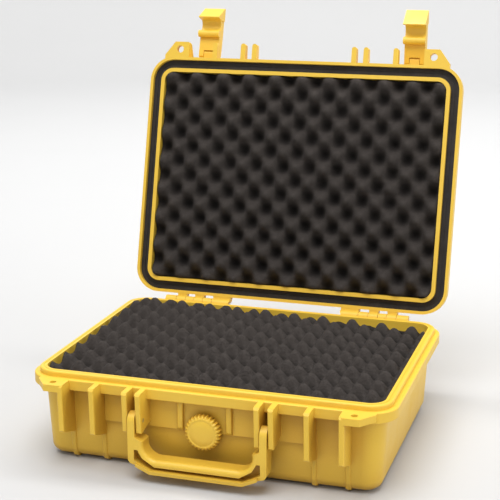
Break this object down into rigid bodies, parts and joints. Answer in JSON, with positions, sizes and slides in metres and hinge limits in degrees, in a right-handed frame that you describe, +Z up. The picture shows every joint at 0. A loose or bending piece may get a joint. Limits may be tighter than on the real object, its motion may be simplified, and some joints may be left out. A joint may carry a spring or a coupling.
{
  "type": "protective instrument case",
  "caption": "Hard yellow clamshell instrument case with egg-crate foam, sealed hinged lid, draw latches, folding carry handle and a purge valve.",
  "frame": {"origin": "on the surface that the runners under the base stand on, at the middle of the rim", "axes": "+Z up, +X to the right along the front, +Y from the front towards the hinges"},
  "size_m": [0.33, 0.3884, 0.3782],
  "materials": {
    "yellow_shell": "fine textured moulded polypropylene",
    "yellow_trim": "smooth moulded nylon",
    "foam": "open-cell charcoal polyurethane foam",
    "seal_rubber": "sponge rubber",
    "steel": "ground stainless pin"
  },
  "bodies": {
    "base": {"base_shell": "yellow_shell", "base_foam_block": "foam", "base_foam_sheet": "foam", "valve_body": "yellow_trim", "valve_gasket": "seal_rubber", "valve_washer": "steel", "valve_nut": "yellow_trim", "handle_pin_left": "steel", "handle_pin_right": "steel", "hinge_pin_left": "steel", "hinge_pin_right": "steel"},
    "lid": {"lid_shell": "yellow_shell", "lid_seal": "seal_rubber", "lid_foam_sheet": "foam", "latch_pin_left": "steel", "latch_pin_right": "steel"},
    "latch_left": {"latch_left": "yellow_trim"},
    "latch_right": {"latch_right": "yellow_trim"},
    "handle": {"handle": "yellow_trim"},
    "valve_screw": {"knob_oring": "seal_rubber"},
    "purge_knob": {"purge_knob": "yellow_trim"}
  },
  "joints": [
    {"name": "lid_hinge", "type": "hinge", "parent": "base", "child": "lid", "pos_m": [0, 0.1315, 0.0795], "axis": [1, 0, 0], "range_deg": [0, 104.5]},
    {"name": "latch_left_pivot", "type": "hinge", "parent": "lid", "child": "latch_left", "pos_m": [-0.1108, 0.22255, 0.32812], "axis": [1, 0, 0], "range_deg": [-8, 92.9]},
    {"name": "latch_right_pivot", "type": "hinge", "parent": "lid", "child": "latch_right", "pos_m": [0.1108, 0.22255, 0.32812], "axis": [1, 0, 0], "range_deg": [-24, 76]},
    {"name": "handle_swing", "type": "hinge", "parent": "base", "child": "handle", "pos_m": [0, -0.1324, 0.0533], "axis": [-1, 0, 0], "range_deg": [-12, 100]},
    {"name": "purge_travel", "type": "slide", "parent": "base", "child": "valve_screw", "axis": [0, -1, 0], "range_m": [0, 0.002]},
    {"name": "purge_turn", "type": "hinge", "parent": "valve_screw", "child": "purge_knob", "pos_m": [0, -0.12, 0.0439], "axis": [0, -1, 0], "range_deg": [0, 360]}
  ],
  "couplings": [
    {"joint": "purge_travel", "follows": "purge_turn", "m_per_rad": 0.00031831}
  ]
}
